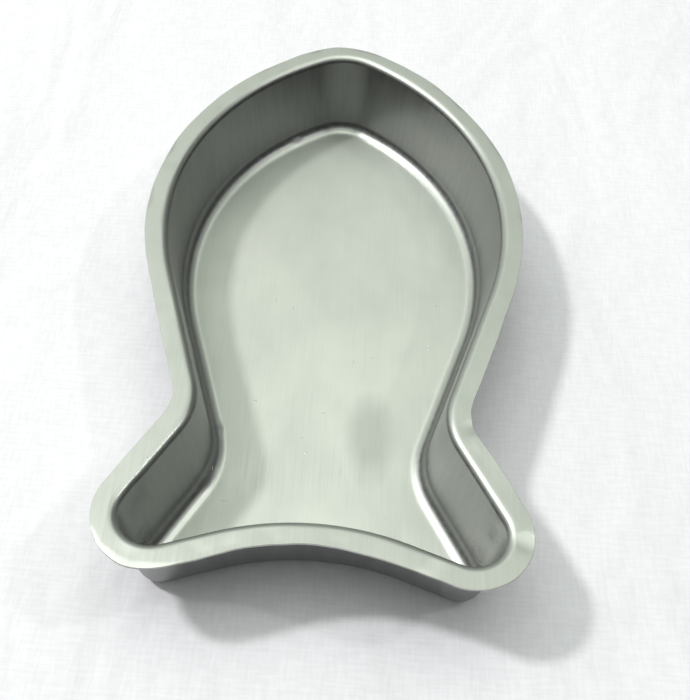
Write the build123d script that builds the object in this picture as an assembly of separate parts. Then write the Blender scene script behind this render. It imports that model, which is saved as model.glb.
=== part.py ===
from build123d import *
import os
from math import atan2, cos, hypot, pi, radians, sin, sqrt, tan

# Fish-shaped baking tin, deep-drawn from one sheet of plain aluminium.
# It stands on its flat floor. The fish lies along Y with its nose towards +Y, and the open side
# faces +Z. The origin is on the underside of the floor, at the middle of the overall box.
# Millimetres throughout.

# Overall sizes, measured over the flange.
length = 270.0
body_width = 151.0
tail_width = 142.0
waist_width = 104.0
depth = 39.0

# The sheet and how it is drawn.
sheet = 1.0
flange_width = 8.5
draft = 6.0
shoulder_radius = 2.0
floor_radius = 6.0

# Where the outline is widest and narrowest, and how far the trailing edge is hollowed.
nose_to_widest = 109.5
tail_to_waist = 64.5
tail_hollow = 11.5

# Radii of the outline's round stretches.
nose_radius = 31.0
body_rear_radius = 130.0
waist_radius = 18.0
lobe_radius = 20.0
trailing_radius = 87.0

# Two rounds whose ends are nearer than this meet without a straight line between them.
shortest_line = 0.01

nose_y = length / 2
tail_y = -length / 2
widest = (body_width / 2, nose_y - nose_to_widest)
waist_y = tail_y + tail_to_waist
hollow_y = tail_y + tail_hollow
nose_centre = (0, nose_y - nose_radius)

# The front of the body is one arc: it runs into the nose's arc without a corner, and it is
# upright where the body is widest. Both conditions together give its radius.
nose_drop = widest[1] - nose_centre[1]
body_front_radius = (widest[0] ** 2 + nose_drop**2 - nose_radius**2) / (2 * (widest[0] - nose_radius))

# The right half of the outline, from the middle of the trailing edge round to the nose, as
# rounds: a centre and a radius, which is negative where the outline is hollow.
rounds = [
    ((0, hollow_y - trailing_radius), -trailing_radius),
    ((tail_width / 2 - lobe_radius, tail_y + lobe_radius), lobe_radius),
    ((waist_width / 2 + waist_radius, waist_y), -waist_radius),
    ((widest[0] - body_rear_radius, widest[1]), body_rear_radius),
    ((widest[0] - body_front_radius, widest[1]), body_front_radius),
    (nose_centre, nose_radius),
]


def heading_between(start, end):
    """The heading of the straight line that leaves one round and meets the next smoothly."""
    (x1, y1), radius1 = start
    (x2, y2), radius2 = end
    reach = hypot(x2 - x1, y2 - y1)
    growth = radius2 - radius1
    straight = sqrt(max(reach**2 - growth**2, 0))
    return atan2(y2 - y1, x2 - x1) - atan2(growth, straight)


def point_on(centre, radius, heading):
    """The point of a round where the outline runs in the given heading."""
    return (centre[0] + radius * sin(heading), centre[1] - radius * cos(heading))


def outline(inset, z):
    """The fish outline as a flat face at height z, drawn in by the inset all round."""
    inner = [(centre, radius - inset) for centre, radius in rounds]
    headings = [0.0] + [heading_between(a, b) for a, b in zip(inner, inner[1:])] + [pi]
    edges = []
    end = point_on(*inner[0], 0.0)
    for (centre, radius), enter, leave in zip(inner, headings, headings[1:]):
        first, middle, last = (point_on(centre, radius, h) for h in (enter, (enter + leave) / 2, leave))
        if hypot(first[0] - end[0], first[1] - end[1]) > shortest_line:
            edges.append(Line(end, first))
            end = first
        edges.append(ThreePointArc(end, middle, last))
        end = last
    right_half = Curve() + edges
    whole = right_half + mirror(right_half, about=Plane.YZ)
    return Pos(0, 0, z) * make_face(whole)


def drawn_bowl(rim_inset, bottom_z, bottom_radius):
    """The solid inside one face of the drafted wall, from the rim down, rounded at the bottom."""
    drop = depth - bottom_z
    bottom = outline(rim_inset + drop * tan(radians(draft)), bottom_z)
    bowl = extrude(bottom, drop, taper=-draft)
    return fillet(bowl.faces().sort_by(Axis.Z)[0].edges(), bottom_radius)


# The sheet is measured square to the drafted wall, so the wall is a little wider in plan.
wall_in_plan = sheet / cos(radians(draft))

cavity = drawn_bowl(flange_width, sheet, floor_radius)
outside = drawn_bowl(flange_width - wall_in_plan, 0, floor_radius + sheet)
flange = extrude(outline(0, depth - sheet), sheet)
pressed_tin = flange + outside - cavity

# The sheet rolls over a small radius from the wall to the flange, inside and out.
under_flange, flange_top = pressed_tin.faces().filter_by(Axis.Z).sort_by(Axis.Z)[-2:]
pressed_tin = fillet(flange_top.inner_wires()[0].edges(), shoulder_radius + sheet)
under_flange = pressed_tin.faces().filter_by(Axis.Z).sort_by(Axis.Z)[-2]
pressed_tin = fillet(under_flange.inner_wires()[0].edges(), shoulder_radius)

os.makedirs("parts", exist_ok=True)
pressed_tin.label = "pressed_tin"
export_step(pressed_tin, "parts/pressed_tin.step")
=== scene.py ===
from math import atan2, cos, pi, radians, sin, sqrt, tan

import bmesh
import bpy
from mathutils import Matrix, Vector


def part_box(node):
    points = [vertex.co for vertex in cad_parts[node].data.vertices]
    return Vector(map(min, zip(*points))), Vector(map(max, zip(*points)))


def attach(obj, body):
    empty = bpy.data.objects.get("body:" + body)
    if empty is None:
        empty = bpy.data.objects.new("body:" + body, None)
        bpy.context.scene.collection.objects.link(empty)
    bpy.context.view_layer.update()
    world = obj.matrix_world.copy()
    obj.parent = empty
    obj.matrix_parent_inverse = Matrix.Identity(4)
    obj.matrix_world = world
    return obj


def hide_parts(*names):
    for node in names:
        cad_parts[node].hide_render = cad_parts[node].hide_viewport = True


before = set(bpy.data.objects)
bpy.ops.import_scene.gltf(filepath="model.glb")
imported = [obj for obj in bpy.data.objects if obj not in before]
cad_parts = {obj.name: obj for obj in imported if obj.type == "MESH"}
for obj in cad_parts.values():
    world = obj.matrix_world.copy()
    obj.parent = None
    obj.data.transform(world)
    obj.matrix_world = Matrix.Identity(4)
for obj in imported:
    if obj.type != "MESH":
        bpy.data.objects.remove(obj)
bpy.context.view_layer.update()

low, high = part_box("pressed_tin")

# ---- The tin, drawn in one piece ----------------------------------------------------------
# A blank of soft 1 mm aluminium sheet, drawn into a fish-shaped die in a press. The wall leans
# outwards so that a cake slides out, and the flange is what the blank holder gripped, trimmed
# by hand.

sheet = 0.001
flange_width = 0.0085
draft = radians(6)
shoulder_radius = 0.003
floor_radius = 0.006

rim_z = high[2]
floor_z = low[2] + sheet
nose_y = high[1]
tail_y = low[1]
waist_width = 0.104
tail_width = 0.142
nose_radius = 0.031
body_rear_radius = 0.130
waist_radius = 0.018
lobe_radius = 0.020
trailing_radius = 0.087
hollow_y = tail_y + 0.0115
widest = Vector((high[0], nose_y - 0.1095))
nose_centre = Vector((0, nose_y - nose_radius))
nose_drop = widest.y - nose_centre.y
body_front_radius = (widest.x**2 + nose_drop**2 - nose_radius**2) / (2 * (widest.x - nose_radius))

# The right half of the outline, from the middle of the trailing edge to the nose, as rounds: a
# centre and a radius, which is negative where the outline is hollow.
rounds = [
    (Vector((0, hollow_y - trailing_radius)), -trailing_radius),
    (Vector((tail_width / 2 - lobe_radius, tail_y + lobe_radius)), lobe_radius),
    (Vector((waist_width / 2 + waist_radius, tail_y + 0.0645)), -waist_radius),
    (Vector((widest.x - body_rear_radius, widest.y)), body_rear_radius),
    (Vector((widest.x - body_front_radius, widest.y)), body_front_radius),
    (nose_centre, nose_radius),
]


def heading_between(start, end):
    """The heading of the straight line that leaves one round and meets the next smoothly."""
    step = end[0] - start[0]
    growth = end[1] - start[1]
    straight = sqrt(max(step.length**2 - growth**2, 0))
    return atan2(step.y, step.x) - atan2(growth, straight)


def select_where(mesh_object, test, kind="VERT"):
    """Selects the vertices, edges or faces of the mesh in edit mode that pass the test."""
    bpy.ops.mesh.select_mode(type=kind)
    bpy.ops.mesh.select_all(action="DESELECT")
    mesh = bmesh.from_edit_mesh(mesh_object.data)
    items = {"VERT": mesh.verts, "EDGE": mesh.edges, "FACE": mesh.faces}[kind]
    for item in items:
        item.select = test(item)
    mesh.select_flush_mode()
    bmesh.update_edit_mesh(mesh_object.data)


# One vertex at the middle of the trailing edge is spun round each centre in turn, with a
# straight run between two rounds where they don't touch.
bpy.ops.object.select_all(action="DESELECT")
bpy.ops.mesh.primitive_plane_add(size=0.01, location=(0, hollow_y, rim_z))
tin = bpy.context.object
tin.name = "tin"
bpy.ops.object.transform_apply(location=True)
bpy.ops.object.mode_set(mode="EDIT")
bpy.ops.mesh.select_all(action="SELECT")
bpy.ops.mesh.merge(type="CENTER")

arc_step = 0.002
headings = [0.0] + [heading_between(a, b) for a, b in zip(rounds, rounds[1:])] + [pi]
end = Vector((0, hollow_y))
for (centre, radius), enter, leave in zip(rounds, headings, headings[1:]):
    start = centre + radius * Vector((sin(enter), -cos(enter)))
    run = start - end
    if run.length > arc_step / 20:
        pieces = round(run.length / arc_step)
        for _ in range(pieces):
            step = {"value": (run.x / pieces, run.y / pieces, 0)}
            bpy.ops.mesh.extrude_region_move(TRANSFORM_OT_translate=step)
    steps = max(4, round(abs(leave - enter) * abs(radius) / arc_step))
    bpy.ops.mesh.spin(steps=steps, angle=enter - leave, center=(*centre, rim_z), axis=(0, 0, 1))
    end = centre + radius * Vector((sin(leave), -cos(leave)))
bpy.ops.object.mode_set(mode="OBJECT")

mirror = tin.modifiers.new("mirror", "MIRROR")
mirror.merge_threshold = arc_step / 10
bpy.ops.object.modifier_apply(modifier=mirror.name)

# The closed outline is filled, inset by the flange in three rings, and pushed down to make wall
# and floor.
bpy.ops.object.mode_set(mode="EDIT")
bpy.ops.mesh.select_all(action="SELECT")
bpy.ops.mesh.edge_face_add()
bpy.ops.mesh.normals_make_consistent(inside=False)
if bmesh.from_edit_mesh(tin.data).faces[0].normal.z < 0:
    bpy.ops.mesh.flip_normals()
for share in [0.3, 0.3, 0.4]:
    bpy.ops.mesh.inset(thickness=flange_width * share)
drop = rim_z - floor_z
bpy.ops.mesh.inset(thickness=drop * tan(draft), depth=-drop)


def is_ring(edge, z, face_sizes):
    """Whether an edge lies at height z, between faces of the two kinds given by their tilt."""
    flat = all(abs(v.co.z - z) < 1e-5 for v in edge.verts)
    return flat and sorted(abs(f.normal.z) > 0.5 for f in edge.link_faces) == face_sizes


half_turn = tan((pi / 2 - draft) / 2)
select_where(tin, lambda e: is_ring(e, floor_z, [False, True]), "EDGE")
bpy.ops.mesh.bevel(offset=floor_radius * half_turn, segments=10, affect="EDGES")
select_where(tin, lambda e: is_ring(e, rim_z, [False, True]), "EDGE")
bpy.ops.mesh.bevel(offset=shoulder_radius * half_turn, segments=8, affect="EDGES")

# A narrow border keeps the floor's one large face flat right up to the bend.
select_where(tin, lambda f: len(f.verts) > 8, "FACE")
bpy.ops.mesh.inset(thickness=0.001)

# The wall is cut into level bands, so that it can carry the slight waves that drawing leaves.
band = 0.004
for level in range(2, int(drop / band)):
    select_where(tin, lambda f: abs(f.normal.z) < 0.2, "FACE")
    bpy.ops.mesh.bisect(plane_co=(0, 0, floor_z + level * band), plane_no=(0, 0, 1))
bpy.ops.object.mode_set(mode="OBJECT")

cut_edge = tin.vertex_groups.new(name="cut edge")
edge_counts = {}
for face in tin.data.polygons:
    for key in face.edge_keys:
        edge_counts[key] = edge_counts.get(key, 0) + 1
cut_edge.add([v for key, count in edge_counts.items() if count == 1 for v in key], 1, "REPLACE")
flange = tin.vertex_groups.new(name="flange")
flange.add([v.index for v in tin.data.vertices if v.co.z > rim_z - 1e-5], 1, "REPLACE")
drawn_wall = tin.vertex_groups.new(name="drawn wall")
wall_span = (floor_z + floor_radius, rim_z - shoulder_radius)
on_wall = [v.index for v in tin.data.vertices if wall_span[0] < v.co.z < wall_span[1]]
drawn_wall.add(on_wall, 1, "REPLACE")

# Hand shears leave the flange's edge uneven by about half a millimetre at most, in plan and in height,
# and the wall is wavy where the sheet was squeezed together at the lobes and the waist.
waves = [
    ("cut edge", "X", 0.0016, 0.030),
    ("cut edge", "Y", 0.0016, 0.022),
    ("cut edge", "Z", 0.0006, 0.040),
    ("flange", "Z", 0.0003, 0.012),
    ("drawn wall", "NORMAL", 0.0004, 0.016),
]
for group, direction, strength, wavelength in waves:
    pattern = bpy.data.textures.new(group + direction, "CLOUDS")
    pattern.noise_scale = wavelength
    wave = tin.modifiers.new("wave", "DISPLACE")
    wave.texture = pattern
    wave.texture_coords = "LOCAL"
    wave.direction = direction
    wave.vertex_group = group
    wave.strength = strength
    bpy.ops.object.modifier_apply(modifier=wave.name)

# Knocks and creases from use, each a place, a push and how far round it reaches: a pinch high on
# each lobe, the flange pressed down where it has been held at the waist and at one lobe, a
# shallow dent in the body's wall, and nicks in the bend round the floor.
knocks = [
    (Vector((0.060, -0.110, 0.028)), (0.0007, 0.0003, 0), 0.005),
    (Vector((-0.059, -0.107, 0.031)), (-0.0005, 0.0003, 0), 0.007),
    (Vector((0.052, -0.075, 0.039)), (0, 0, -0.0005), 0.005),
    (Vector((0.067, -0.118, 0.039)), (0, 0, -0.0005), 0.006),
    (Vector((-0.056, 0.070, 0.022)), (-0.0004, 0.0002, 0), 0.009),
    (Vector((-0.0385, -0.058, 0.0022)), (0.0004, 0, 0.0004), 0.003),
    (Vector((-0.0405, -0.083, 0.0022)), (0.0004, 0, 0.0004), 0.003),
    (Vector((-0.0220, 0.109, 0.0022)), (0.0003, -0.0003, 0.0003), 0.003),
]
bpy.ops.object.mode_set(mode="EDIT")
for spot, push, reach in knocks:
    nearest = min((v.co - spot).length for v in bmesh.from_edit_mesh(tin.data).verts)
    select_where(tin, lambda v: (v.co - spot).length < nearest + 1e-6)
    bpy.ops.transform.translate(value=push, use_proportional_edit=True, proportional_size=reach)
bpy.ops.object.mode_set(mode="OBJECT")

wall = tin.modifiers.new("sheet", "SOLIDIFY")
wall.thickness = sheet
wall.offset = -1
wall.use_even_offset = True
wall.material_offset = 1
bpy.ops.object.modifier_apply(modifier=wall.name)

trim = tin.modifiers.new("trimmed edge", "BEVEL")
trim.width = 0.00015
trim.segments = 2
trim.limit_method = "ANGLE"
trim.angle_limit = radians(60)
bpy.ops.object.modifier_apply(modifier=trim.name)
bpy.ops.object.shade_smooth()
flats = tin.modifiers.new("flat floor and flange", "WEIGHTED_NORMAL")
flats.weight = 100
bpy.ops.object.modifier_apply(modifier=flats.name)


def linear(hex_colour):
    """An sRGB hex colour as the linear colour that a shader takes."""
    parts = [int(hex_colour[i : i + 2], 16) / 255 for i in (0, 2, 4)]
    return [c / 12.92 if c <= 0.04045 else ((c + 0.055) / 1.055) ** 2.4 for c in parts] + [1]


def add_node(tree, kind, settings=None, **inputs):
    """Adds a node, makes its settings, and gives each input a value or the output of a node.

    An input goes by its name, or by its place as _0 or _1 where the node repeats a name.
    """
    node = tree.nodes.new(kind)
    for name, value in (settings or {}).items():
        setattr(node, name, value)
    named = {socket.name: socket for socket in reversed(node.inputs) if socket.enabled}
    for name, value in inputs.items():
        socket = node.inputs[int(name[1:])] if name[0] == "_" else named[name.replace("_", " ")]
        if isinstance(value, bpy.types.Node):
            value = next(output for output in value.outputs if output.enabled)
        if isinstance(value, bpy.types.NodeSocket):
            tree.links.new(value, socket)
        else:
            socket.default_value = value
    return node


def per_metre(x, y, z):
    """The scale that makes a pattern's features measure so many millimetres along each axis."""
    return (1000 / x, 1000 / y, 1000 / z)


# Bare rolled aluminium, pressed and never polished: a greyish metal with a satin sheen. The
# floor keeps the mill's fine lines along the strip, and looks pale and soft because they
# scatter light widely. The punch has rubbed the wall glossier, with faint upright drag marks.
# The wall, and less so the flange, are painted a darker grey than the floor: painted shade.
# Handling adds cloudy patches, scuffs and pinpricks.
satin = bpy.data.materials.new("satin pressed aluminium")
satin.use_nodes = True
tree = satin.node_tree
tree.nodes.clear()
place = add_node(tree, "ShaderNodeTexCoord").outputs["Object"]
height = add_node(tree, "ShaderNodeSeparateXYZ", Vector=place).outputs["Z"]

# Where each finish lies, by height: the wall, rubbed glossier and painted darker as shade, the
# flange, painted darker as shade, and the start of each bend, which is polished because the
# sheet turned there under the most pressure.
above_floor = add_node(tree, "ShaderNodeMapRange", Value=height,
                       From_Min=floor_z + 0.0001, From_Max=floor_z + 0.0016)
below_rim = add_node(tree, "ShaderNodeMapRange", Value=height, From_Min=rim_z, From_Max=rim_z - 0.002)
# The wall's mask: it makes the wall glossier, and it also paints the wall darker as painted shade.
wall_rubbed_and_shaded = add_node(tree, "ShaderNodeMath", {"operation": "MULTIPLY"}, _0=above_floor, _1=below_rim)
# Painted shade: the flange's top is mixed towards a darker grey, standing in for the bounced light that
# reaches the floor but not the flange.
flange_painted_shade = add_node(tree, "ShaderNodeMapRange", Value=height,
                   From_Min=rim_z - 0.0020, From_Max=rim_z - 0.0008, To_Max=0.8)
floor_bend_start = add_node(tree, "ShaderNodeMapRange", Value=height,
                            From_Min=floor_z + 0.00002, From_Max=floor_z + 0.0001)
floor_bend_end = add_node(tree, "ShaderNodeMapRange", Value=height,
                          From_Min=floor_z + 0.0008, From_Max=floor_z + 0.0004)
rim_bend_start = add_node(tree, "ShaderNodeMapRange", Value=height,
                          From_Min=rim_z - 0.00002, From_Max=rim_z - 0.0001)
rim_bend_end = add_node(tree, "ShaderNodeMapRange", Value=height,
                        From_Min=rim_z - 0.0008, From_Max=rim_z - 0.0004)
floor_bend = add_node(tree, "ShaderNodeMath", {"operation": "MULTIPLY"}, _0=floor_bend_start,
                      _1=floor_bend_end)
rim_bend = add_node(tree, "ShaderNodeMath", {"operation": "MULTIPLY"}, _0=rim_bend_start, _1=rim_bend_end)
bend = add_node(tree, "ShaderNodeMath", {"operation": "MAXIMUM"}, _0=floor_bend, _1=rim_bend)

# Mill lines are 0.1 mm apart in life and are drawn at 0.5 mm, the finest that still shows.
along_strip = add_node(tree, "ShaderNodeMapping", Vector=place, Scale=per_metre(0.5, 30, 30))
mill_lines = add_node(tree, "ShaderNodeTexNoise", Vector=along_strip, Scale=1, Detail=2)
up_wall = add_node(tree, "ShaderNodeMapping", Vector=place, Scale=per_metre(2.2, 2.2, 90))
drag_marks = add_node(tree, "ShaderNodeTexNoise", Vector=up_wall, Scale=1, Detail=3)
cloud_place = add_node(tree, "ShaderNodeMapping", Vector=place, Scale=per_metre(38, 55, 38))
clouds = add_node(tree, "ShaderNodeTexNoise", Vector=cloud_place, Scale=1, Detail=3, Roughness=0.6)
grain_place = add_node(tree, "ShaderNodeMapping", Vector=place, Scale=per_metre(0.7, 0.7, 0.7))
grain = add_node(tree, "ShaderNodeTexNoise", Vector=grain_place, Scale=1, Detail=2)

# Scuffs a millimetre or two long run two ways, between pinpricks about 13 mm apart.
scuff_place = add_node(tree, "ShaderNodeMapping", Vector=place, Rotation=(0, 0, radians(24)),
                       Scale=per_metre(3.2, 34, 12))
scuff_cells = add_node(tree, "ShaderNodeTexVoronoi", Vector=scuff_place, Scale=1)
scuffs = add_node(tree, "ShaderNodeMapRange", Value=scuff_cells, From_Min=0.035, From_Max=0.015)
crossing_place = add_node(tree, "ShaderNodeMapping", Vector=place, Rotation=(0, 0, radians(-38)),
                          Scale=per_metre(26, 2.6, 12))
crossing_cells = add_node(tree, "ShaderNodeTexVoronoi", Vector=crossing_place, Scale=1)
crossing_scuffs = add_node(tree, "ShaderNodeMapRange", Value=crossing_cells, From_Min=0.035, From_Max=0.015)
marks = add_node(tree, "ShaderNodeMath", {"operation": "MAXIMUM"}, _0=scuffs, _1=crossing_scuffs)
pinprick_place = add_node(tree, "ShaderNodeMapping", Vector=place, Scale=per_metre(13, 13, 13))
pinprick_cells = add_node(tree, "ShaderNodeTexVoronoi", Vector=pinprick_place, Scale=1)
pinpricks = add_node(tree, "ShaderNodeMapRange", Value=pinprick_cells, From_Min=0.040, From_Max=0.020)

# A dull stain on the floor near the waist, 18 mm by 40 mm, left by baking.
from_stain = add_node(tree, "ShaderNodeVectorMath", {"operation": "SUBTRACT"}, _0=place,
                      _1=(0.019, -0.058, 0))
across_stain = add_node(tree, "ShaderNodeVectorMath", {"operation": "MULTIPLY"}, _0=from_stain,
                        _1=(1 / 0.009, 1 / 0.020, 0))
stain_reach = add_node(tree, "ShaderNodeVectorMath", {"operation": "LENGTH"}, _0=across_stain)
stain_fade = add_node(tree, "ShaderNodeMapRange", Value=stain_reach, From_Min=0.5, From_Max=1.2,
                      To_Min=0.35, To_Max=0)
on_floor = add_node(tree, "ShaderNodeMapRange", Value=height, From_Min=0.002, From_Max=0.004,
                    To_Min=1, To_Max=0)
stain = add_node(tree, "ShaderNodeMath", {"operation": "MULTIPLY"}, _0=stain_fade, _1=on_floor)

cloud_amount = add_node(tree, "ShaderNodeMapRange", Value=clouds, From_Min=0.35, From_Max=0.65)
drag_amount = add_node(tree, "ShaderNodeMapRange", Value=drag_marks, From_Min=0.3, From_Max=0.7)
mill_colour = add_node(tree, "ShaderNodeMix", {"data_type": "RGBA"}, Factor=cloud_amount,
                       A=linear("C2C5BF"), B=linear("CBCDC7"))
# Painted shade on the flange, which is made darker than the floor.
flat_colour = add_node(tree, "ShaderNodeMix", {"data_type": "RGBA"}, Factor=flange_painted_shade,
                       A=mill_colour, B=linear("B3B5B0"))
stained_colour = add_node(tree, "ShaderNodeMix", {"data_type": "RGBA"}, Factor=stain,
                          A=flat_colour, B=linear("8C928C"))
# Painted shade: the wall is a darker grey than the floor, standing in for the dark room it reflects; drag
# marks vary it.
wall_shade_and_drag_colour = add_node(tree, "ShaderNodeMix", {"data_type": "RGBA"}, Factor=drag_amount,
                         A=linear("909191"), B=linear("9C9C9C"))
metal_colour = add_node(tree, "ShaderNodeMix", {"data_type": "RGBA"}, Factor=wall_rubbed_and_shaded,
                        A=stained_colour, B=wall_shade_and_drag_colour)
mark_amount = add_node(tree, "ShaderNodeMath", {"operation": "MULTIPLY"}, _0=marks, _1=0.35)
marked_colour = add_node(tree, "ShaderNodeMix", {"data_type": "RGBA"}, Factor=mark_amount,
                         A=metal_colour, B=linear("E4E6E2"))

line_gloss = add_node(tree, "ShaderNodeMapRange", Value=mill_lines, From_Min=0.3, From_Max=0.7,
                      To_Min=0.58, To_Max=0.66)
cloud_gloss = add_node(tree, "ShaderNodeMapRange", Value=clouds, From_Min=0.35, From_Max=0.65,
                       To_Min=0.015, To_Max=-0.015)
mill_gloss = add_node(tree, "ShaderNodeMath", {"operation": "ADD"}, _0=line_gloss, _1=cloud_gloss)
rubbed_gloss = add_node(tree, "ShaderNodeMapRange", Value=drag_marks, From_Min=0.3, From_Max=0.7,
                        To_Min=0.33, To_Max=0.40)
sheet_gloss = add_node(tree, "ShaderNodeMix", {"data_type": "FLOAT"}, Factor=wall_rubbed_and_shaded,
                       A=mill_gloss, B=rubbed_gloss)
bend_gloss = add_node(tree, "ShaderNodeMath", {"operation": "MULTIPLY_ADD"}, _0=bend, _1=-0.22,
                      _2=sheet_gloss)
nicks = add_node(tree, "ShaderNodeMath", {"operation": "MAXIMUM"}, _0=marks, _1=pinpricks)
gloss = add_node(tree, "ShaderNodeMath", {"operation": "MULTIPLY_ADD"}, _0=nicks, _1=-0.2, _2=bend_gloss)

# Low in each lobe, where the sheet was gathered, it has rippled in rings 1.6 mm apart.
mirrored = add_node(tree, "ShaderNodeVectorMath", {"operation": "ABSOLUTE"}, _0=place)
from_ripple = add_node(tree, "ShaderNodeVectorMath", {"operation": "SUBTRACT"}, _0=mirrored,
                       _1=(0.0576, 0.1088, 0.011))
ripple_reach = add_node(tree, "ShaderNodeVectorMath", {"operation": "LENGTH"}, _0=from_ripple)
ring_angle = add_node(tree, "ShaderNodeMath", {"operation": "MULTIPLY"}, _0=ripple_reach, _1=2 * pi / 0.0016)
rings = add_node(tree, "ShaderNodeMath", {"operation": "SINE"}, _0=ring_angle)
ring_fade = add_node(tree, "ShaderNodeMapRange", Value=ripple_reach, From_Min=0.003, From_Max=0.008,
                     To_Min=1, To_Max=0)
ripples = add_node(tree, "ShaderNodeMath", {"operation": "MULTIPLY"}, _0=rings, _1=ring_fade)

# The sheet is never quite flat: it swells by a tenth of a millimetre over a few centimetres.
fine_texture = add_node(tree, "ShaderNodeMath", {"operation": "ADD"}, _0=grain, _1=mill_lines)
nick_depth = add_node(tree, "ShaderNodeMath", {"operation": "ADD"}, _0=marks, _1=pinpricks)
swell = add_node(tree, "ShaderNodeBump", Height=clouds, Distance=0.00025)
textured = add_node(tree, "ShaderNodeBump", Height=fine_texture, Distance=0.000012, Normal=swell)
nicked = add_node(tree, "ShaderNodeBump", Height=nick_depth, Distance=0.00008, Normal=textured)
rippled = add_node(tree, "ShaderNodeBump", Height=ripples, Distance=0.00005, Normal=nicked)
metal = add_node(tree, "ShaderNodeBsdfPrincipled", Base_Color=marked_colour, Metallic=1, Roughness=gloss,
                 Normal=rippled)
add_node(tree, "ShaderNodeOutputMaterial", Surface=metal)
tin.data.materials.append(satin)

# Outside, the sheet slid over the die's lip, which leaves it bright, with drag marks that run up
# and down the wall; the inside wall is darker than it by painted shade. No face carries this
# finish yet: the sheet is thickened before it has two materials, so its outside is satin like
# the inside.
burnished =bpy.data.materials.new("die-burnished aluminium")
burnished.use_nodes = True
tree = burnished.node_tree
tree.nodes.clear()
place = add_node(tree, "ShaderNodeTexCoord").outputs["Object"]
up_wall = add_node(tree, "ShaderNodeMapping", Vector=place, Scale=per_metre(1.1, 1.1, 90))
die_marks = add_node(tree, "ShaderNodeTexNoise", Vector=up_wall, Scale=1, Detail=3)
cloud_place = add_node(tree, "ShaderNodeMapping", Vector=place, Scale=per_metre(38, 55, 38))
clouds = add_node(tree, "ShaderNodeTexNoise", Vector=cloud_place, Scale=1, Detail=3, Roughness=0.6)
cloud_amount = add_node(tree, "ShaderNodeMapRange", Value=clouds, From_Min=0.35, From_Max=0.65)
die_colour = add_node(tree, "ShaderNodeMix", {"data_type": "RGBA"}, Factor=cloud_amount,
                      A=linear("BFC2BE"), B=linear("D0D3CF"))
die_gloss = add_node(tree, "ShaderNodeMapRange", Value=die_marks, From_Min=0.3, From_Max=0.7,
                     To_Min=0.22, To_Max=0.36)
die_relief = add_node(tree, "ShaderNodeMath", {"operation": "ADD"}, _0=die_marks, _1=clouds)
scored = add_node(tree, "ShaderNodeBump", Height=die_relief, Distance=0.00003)
metal = add_node(tree, "ShaderNodeBsdfPrincipled", Base_Color=die_colour, Metallic=1, Roughness=die_gloss,
                 Normal=scored)
add_node(tree, "ShaderNodeOutputMaterial", Surface=metal)
tin.data.materials.append(burnished)

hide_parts("pressed_tin")
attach(tin, "root")

# ---- The cloth it stands on ---------------------------------------------------------------
# A white cotton sheet, woven and a little creased, wide enough to fill every view. It is matt,
# because its threads scatter light every way. Threads 0.3 mm apart are drawn at 1.2 mm.

bpy.ops.object.select_all(action="DESELECT")
bpy.ops.mesh.primitive_plane_add(size=8, location=(0, 0, low[2]))
cloth = bpy.context.object
cloth.name = "floor"
cotton = bpy.data.materials.new("white cotton cloth")
cotton.use_nodes = True
tree = cotton.node_tree
tree.nodes.clear()
place = add_node(tree, "ShaderNodeTexCoord").outputs["Object"]
warp_place = add_node(tree, "ShaderNodeMapping", Vector=place, Scale=per_metre(1.2, 9, 9))
warp = add_node(tree, "ShaderNodeTexNoise", Vector=warp_place, Scale=1, Detail=1)
weft_place = add_node(tree, "ShaderNodeMapping", Vector=place, Scale=per_metre(9, 1.2, 9))
weft = add_node(tree, "ShaderNodeTexNoise", Vector=weft_place, Scale=1, Detail=1)
weave = add_node(tree, "ShaderNodeMath", {"operation": "ADD"}, _0=warp, _1=weft)
crease_place = add_node(tree, "ShaderNodeMapping", Vector=place, Rotation=(0, 0, radians(25)),
                        Scale=per_metre(70, 160, 100))
creases = add_node(tree, "ShaderNodeTexNoise", Vector=crease_place, Scale=1, Detail=3, Distortion=0.6)
thread_amount = add_node(tree, "ShaderNodeMapRange", Value=weave, From_Min=0.8, From_Max=1.2)
thread_colour = add_node(tree, "ShaderNodeMix", {"data_type": "RGBA"}, Factor=thread_amount,
                         A=linear("E2DFE5"), B=linear("E8E5EB"))
creased = add_node(tree, "ShaderNodeBump", Height=creases, Distance=0.008)
woven = add_node(tree, "ShaderNodeBump", Height=weave, Distance=0.00006, Normal=creased)
fabric = add_node(tree, "ShaderNodeBsdfPrincipled", Base_Color=thread_colour, Roughness=0.9, Normal=woven)
add_node(tree, "ShaderNodeOutputMaterial", Surface=fabric)
cloth.data.materials.append(cotton)

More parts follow.
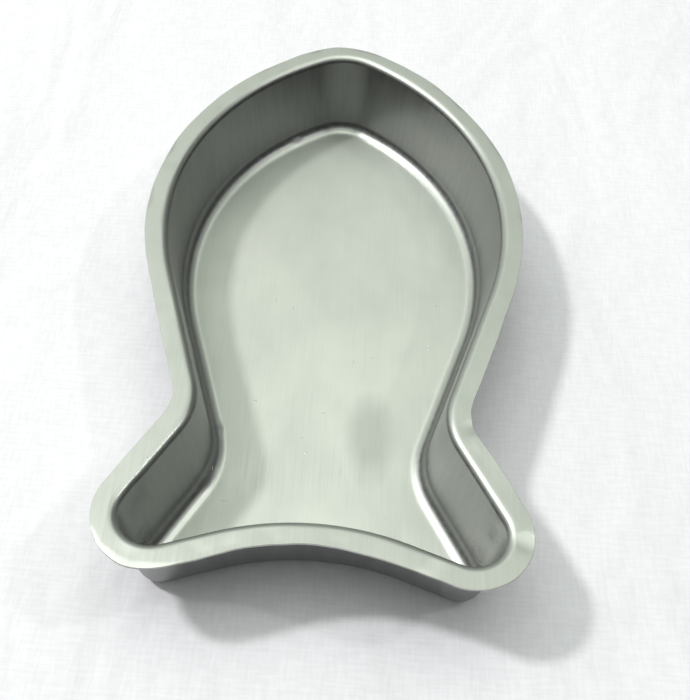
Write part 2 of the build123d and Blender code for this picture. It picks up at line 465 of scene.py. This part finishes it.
# ---- Light and camera ---------------------------------------------------------------------
# The room is bright overhead and beyond the nose, and dark low down behind the camera and on
# the right. The main lamp, high on the left, throws the crisp shadow, and a weaker one across
# the room draws the thin lines on the left-hand bends.

world = bpy.data.worlds.new("room")
bpy.context.scene.world = world
world.use_nodes = True
tree = world.node_tree
tree.nodes.clear()
ray = add_node(tree, "ShaderNodeTexCoord").outputs["Generated"]
glow = 0.045
for direction, start, brightness in [
    ((0.0, 0.05, 1.0), 0.70, 2.1),
    ((-0.35, 0.88, 0.34), 0.35, 0.62),
    ((-0.95, 0.1, 0.3), 0.30, 0.30),
]:
    towards = add_node(tree, "ShaderNodeVectorMath", {"operation": "DOT_PRODUCT"}, _0=ray, _1=direction)
    patch = add_node(tree, "ShaderNodeMapRange", {"interpolation_type": "SMOOTHSTEP"}, Value=towards,
                     From_Min=start, To_Max=brightness)
    glow = add_node(tree, "ShaderNodeMath", {"operation": "ADD"}, _0=patch, _1=glow)
background = add_node(tree, "ShaderNodeBackground", Color=linear("F5FDF3"), Strength=glow)
add_node(tree, "ShaderNodeOutputWorld", Surface=background)

for name, direction, size, power in [
    ("main lamp", (-0.56, 0.09, 0.82), 0.3, 43),
    ("far lamp", (0.63, 0.05, 0.78), 0.12, 8),
]:
    lamp_place = 3 * Vector(direction).normalized()
    bpy.ops.object.light_add(type="AREA", location=lamp_place)
    lamp = bpy.context.object
    lamp.name = name
    lamp.rotation_euler = lamp_place.to_track_quat("Z", "Y").to_euler()
    lamp.data.shape = "DISK"
    lamp.data.size = size
    lamp.data.energy = power

camera_data = bpy.data.cameras.new("camera")
camera = bpy.data.objects.new("camera", camera_data)
bpy.context.scene.collection.objects.link(camera)
camera_data.lens = 51.4
camera_data.clip_start = 0.01
pan, tilt, roll = radians(-1.04), radians(37.9), radians(4.77)
turn = Matrix.Rotation(pan, 4, "Z") @ Matrix.Rotation(tilt, 4, "X") @ Matrix.Rotation(roll, 4, "Z")
camera.matrix_world = Matrix.Translation((0.0028, -0.267, 0.3236)) @ turn
bpy.context.scene.camera = camera
bpy.context.scene.view_settings.view_transform = "Standard"
